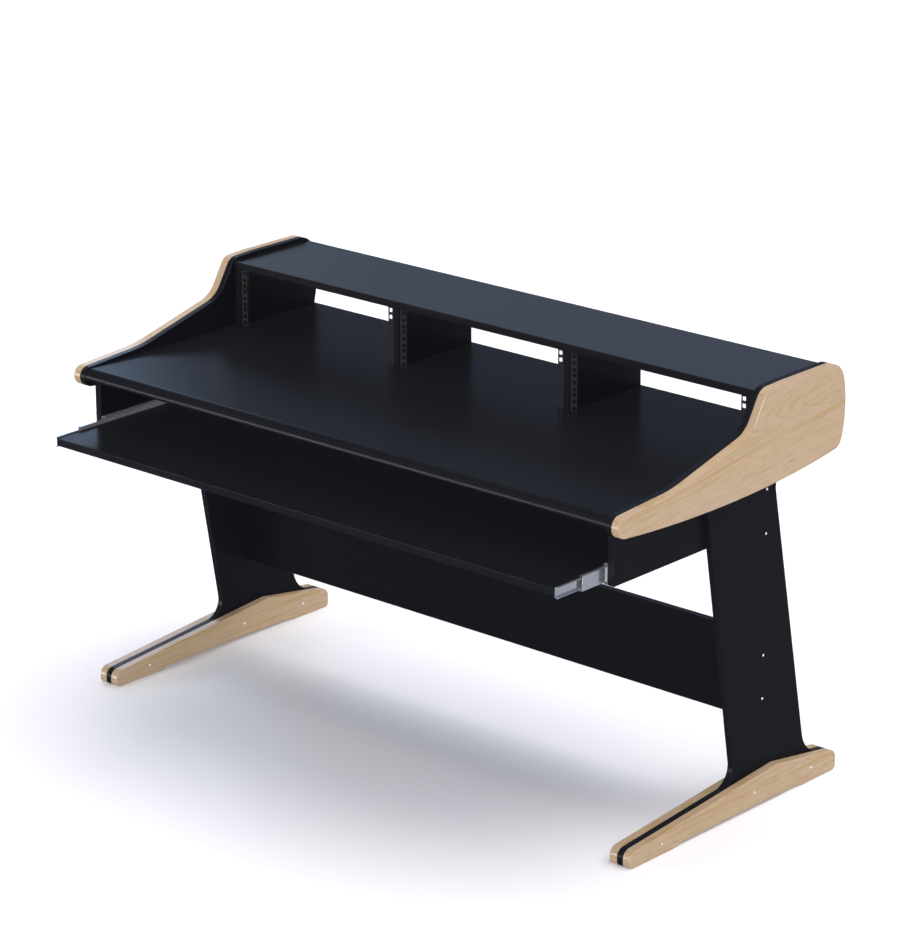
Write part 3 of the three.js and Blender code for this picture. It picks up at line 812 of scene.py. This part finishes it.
def sidePanelOutline():
    belly = curve(cheekShape["belly"], legShape["bellySteps"])
    frontMeets = next(i for i, p in enumerate(belly) if p.x >= legEdge(p.y, "front"))
    rearMeets = next(i for i, p in enumerate(belly) if p.x >= legEdge(p.y, "rear"))
    footMeets = []
    for edge in ("front", "rear"):
        z = footShape["peak"][1]
        for _ in range(legShape["meetRounds"]):
            z = footTop(legEdge(z, edge))
        footMeets.append((legEdge(z, edge), z))
    frontTip, under, rearTip = footCorners()
    plain, every = [(p.x, p.y, 0) for p in belly], legShape["keepEvery"]
    corners = plain[: frontMeets - legShape["frontFree"] : every]
    corners.append((*belly[frontMeets], legShape["topFillet"]))
    corners += [(*footMeets[0], legShape["frontFootFillet"]), frontTip, *under, rearTip]
    corners.append((*footMeets[1], legShape["rearFootFillet"]))
    corners.append((*belly[rearMeets], legShape["topFillet"]))
    corners += plain[rearMeets + legShape["rearFree"] : -1 : every] + plain[-1:]
    return roundedOutline(corners + cheekBackAndTop())


def toFrame(outline):
    return [Vector((p.x * mm + deskShift, p.y * mm)) for p in outline]


legHoles = [
    (legShape["screwLine"] * mm + deskShift, z * mm, rims["screwHole"] * mm)
    for z in legShape["screwHeights"]
]
footHoles = [
    (y * mm + deskShift, footTop(y) * footShape["boltHeightShare"] * mm, rims["screwHole"] * mm)
    for y in footShape["boltsAt"]
]


def thickness(node):
    low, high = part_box(node)
    return low.x, high.x


blackBoard = [finishes["laminate"], finishes["edgeBand"]]
for side in ("left", "right"):
    outerFirst = side == "left"  # the outer face of a left piece has the lower x

    panel = f"{side}_side_panel"
    made = board(
        f"{panel}_fine",
        toFrame(sidePanelOutline()),
        *thickness(panel),
        blackBoard,
        arris=(rims["panel"], rims["panel"]),
        holes=legHoles,
        facing=0,
    )
    standFor(made, panel)

    woodRims = (rims["wood"], rims["woodBack"])
    cheek = f"{side}_wood_cheek"
    made = board(
        f"{cheek}_fine",
        toFrame(cheekOutline()),
        *thickness(cheek),
        [finishes[f"{side}Cheek"]],
        arris=woodRims if outerFirst else woodRims[::-1],
    )
    standFor(made, cheek)

    for place in ("outer", "inner"):
        foot = f"{side}_{place}_foot_board"
        roundFirst = outerFirst == (place == "outer")
        made = board(
            f"{foot}_fine",
            toFrame(footOutline()),
            *thickness(foot),
            [finishes[f"{side}Foot"]],
            arris=woodRims if roundFirst else woodRims[::-1],
            holes=footHoles,
        )
        standFor(made, foot)
print("side frames made")


# each square board takes its place and size from its node
squareBoards = {
    "desktop": {"facing": 2, "frontRadius": 20, "underRadius": 4.8, "radius": 1.5},
    "top_shelf": {"facing": 2, "frontRadius": 1.5, "radius": 1.5, "finish": "shelfLitLaminateCopy"},
    "keyboard_tray": {"facing": 2, "frontRadius": 2.0, "radius": 1.5},
    "lower_stretcher": {"facing": 1, "frontRadius": 1.5, "radius": 1.5},
    "upper_stretcher": {"facing": 1, "frontRadius": 1.5, "radius": 1.5},
    "left_drop_panel": {"facing": 0, "frontRadius": 1.5, "radius": 1.0},
    "right_drop_panel": {"facing": 0, "frontRadius": 1.5, "radius": 1.0},
    "left_rack_end": {"facing": 0, "frontRadius": 1.0, "radius": 1.0},
    "left_rack_divider": {"facing": 0, "frontRadius": 1.0, "radius": 1.0},
    "right_rack_divider": {"facing": 0, "frontRadius": 1.0, "radius": 1.0},
    "right_rack_end": {"facing": 0, "frontRadius": 1.0, "radius": 1.0},
}
for node, settings in squareBoards.items():
    low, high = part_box(node)
    front, rear = settings["frontRadius"] * mm, settings["radius"] * mm
    under = settings.get("underRadius", settings["frontRadius"]) * mm
    corners = [(low.y, low.z, under), (high.y, low.z, rear), (high.y, high.z, rear), (low.y, high.z, front)]
    rim = rims["uprightBoard" if settings["facing"] == 0 else "spanningBoard"]
    made = board(
        f"{node}_fine",
        roundedOutline(corners),
        low.x,
        high.x,
        [finishes[settings.get("finish", "laminate")], finishes["edgeBand"]],
        arris=(rim, rim),
        facing=settings["facing"],
    )
    standFor(made, node)
print("square boards made:", len(squareBoards))


slideShape = {  # millimetres from the drop panel's face, and heights over the slide's middle
    "steel": 1.2,
    "outer": {"web": 0, "flange": 10.2, "lip": 2.3, "height": 45},
    "middle": {"web": 2.4, "flange": 11.4, "lip": 1.3, "height": 34},
    "inner": {"web": 12.7, "flange": 5.2, "lip": 0, "height": 24},
    "bend": 1.9,
    "cutEdge": 0.25,
    "endRim": 0.12,
    "degreesEach": 12,  # of a bend, from one point to the next
}


def slideOutline(settings):
    steel, bend, cut = slideShape["steel"], slideShape["bend"], slideShape["cutEdge"]
    web, flange, half = settings["web"], settings["flange"], settings["height"] / 2
    inward = 1 if flange > web else -1
    lipEnd = half - steel - settings["lip"]
    upper = [(web, half, bend), (flange, half, bend if settings["lip"] else cut), (flange, lipEnd, cut)]
    if settings["lip"]:
        upper += [(flange - inward * steel, lipEnd, cut), (flange - inward * steel, half - steel, bend - steel)]
    upper.append((web + inward * steel, half - steel, bend - steel))
    lower = [(x, -z, r) for x, z, r in upper[::-1]]
    return upper + lower


for side, outward in (("left", -1), ("right", 1)):
    low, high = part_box(f"{side}_slide_outer")
    faceX = high.x if outward > 0 else low.x
    middleZ = (low.z + high.z) / 2
    for member in ("outer", "middle", "inner"):
        node = f"{side}_slide_{member}"
        corners = [
            (faceX - outward * x * mm, middleZ + z * mm, r * mm)
            for x, z, r in slideOutline(slideShape[member])
        ]
        area = sum(a[0] * b[1] - b[0] * a[1] for a, b in zip(corners, corners[1:] + corners[:1]))
        if area < 0:
            corners.reverse()
        low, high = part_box(node)
        made = board(
            f"{node}_fine",
            roundedOutline(corners, slideShape["degreesEach"]),
            low.y,
            high.y,
            [finishes["zinc"]],
            arris=(slideShape["endRim"], slideShape["endRim"]),
            along="y",
        )
        standFor(made, node)
print("slides made")


screwShape = {  # millimetres; head lists radius and depth below its face, tip radius and distance past its end
    "points": 24,
    "socketAcross": 2.5,
    "socketDepth": 1.5,
    "socketTaper": 0.96,
    "bevelDepth": 0.12,
    "bevelWider": 0.2,
    "head": [(2.75, 0.0), (3.0, 0.08), (3.1, 0.35), (3.1, 2.2), (2.9, 2.5), (2.2, 2.5)],
    "tip": [(2.2, -1.4), (1.0, 0.0)],
}


def socketRing(count, across):
    # a hexagon with as many points as the rings round it
    ring = []
    for k in range(count):
        angle = 2 * math.pi * k / count
        fromFlat = (angle + math.pi / 6) % (math.pi / 3) - math.pi / 6
        radius = across / 2 / math.cos(fromFlat)
        ring.append(Vector((math.cos(angle), math.sin(angle))) * radius)
    return ring


def addScrew(name, low, high, bothEnds):
    # lies along x between the two corners; its head, or its first head, is at the outer end
    count, y, z = screwShape["points"], (low.y + high.y) / 2, (low.z + high.z) / 2
    outer, inner = (high.x, low.x) if high.x > 0 else (low.x, high.x)
    inward = 1 if inner > outer else -1
    across = screwShape["socketAcross"]

    def headRings(faceX, direction):
        socket = [
            (socketRing(count, across * screwShape["socketTaper"]), screwShape["socketDepth"]),
            (socketRing(count, across), screwShape["bevelDepth"]),
            (socketRing(count, across + screwShape["bevelWider"]), 0.0),
        ]
        turned = [(circle((0, 0), radius, count), depth) for radius, depth in screwShape["head"]]
        return [
            [(faceX + direction * depth * mm, y + p.x * mm, z + p.y * mm) for p in ring]
            for ring, depth in socket + turned
        ]

    rings = headRings(outer, inward)
    if bothEnds:
        rings += headRings(inner, -inward)[::-1]
    else:
        for radius, depth in screwShape["tip"]:
            ring = circle((0, 0), radius, count)
            rings.append([(inner + inward * depth * mm, y + p.x * mm, z + p.y * mm) for p in ring])
    bm = bmesh.new()
    loops = [[bm.verts.new(p) for p in ring] for ring in rings]
    bridgeRings(bm, loops)
    for face in bm.faces:
        face.smooth = True
    bm.faces.new(loops[0])
    bm.faces.new(loops[-1])
    return addPiece(name, bm, [finishes["nickel"]])


for side in ("left", "right"):
    for kind, count in (("leg_screw", 4), ("foot_bolt", 3)):
        for number in range(1, count + 1):
            node = f"{side}_{kind}_{number}"
            made = addScrew(f"{node}_fine", *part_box(node), kind == "foot_bolt")
            standFor(made, node)
print("screws made")


for node, thing in frame["nodes"].items():
    if "ball_cage" in node or "rack_rail" in node:
        finish = finishes["ball" if "ball_cage" in node else "powder"]
        for slot in thing.material_slots:
            slot.material = finish


floor = {
    "halfWidth": 40,
    "pale": (0.90, 0.90, 0.905, 1),
    "dim": (0.87, 0.87, 0.88, 1),
    "cloudPerMetre": (0.7, 0.7, 0.7),
    "roughness": 0.75,
    "specular": 0.2,
    "dulls": {"cloud": 0.1},
}


def floorFinish(name):
    # pale studio floor with the faintest cloud
    f = Finish(name)
    cloud = f.noise(floor["cloudPerMetre"], 3.0)
    return f.done(
        Base_Color=f.mixed(cloud, floor["pale"], floor["dim"]),
        Roughness=floor["roughness"] + cloud * floor["dulls"]["cloud"],
        Specular_IOR_Level=floor["specular"],
    )


floorMesh = bpy.data.meshes.new("studioFloor")
signs = ((-1, -1), (1, -1), (1, 1), (-1, 1))
floorCorners = [(x * floor["halfWidth"], y * floor["halfWidth"], 0) for x, y in signs]
floorMesh.from_pydata(floorCorners, [], [(0, 1, 2, 3)])
floorMesh.materials.append(floorFinish("paleFloor"))
studioFloor = bpy.data.objects.new("studioFloor", floorMesh)
scene.collection.objects.link(studioFloor)
studioFloor.visible_glossy = False  # polished faces that look down see the dim horizon instead

addCamera(cameraSettings)
addSky(skySettings)
for name, settings in lamps.items():
    addLamp(name, settings)
scene.view_settings.view_transform = "Standard"
print("stage set")
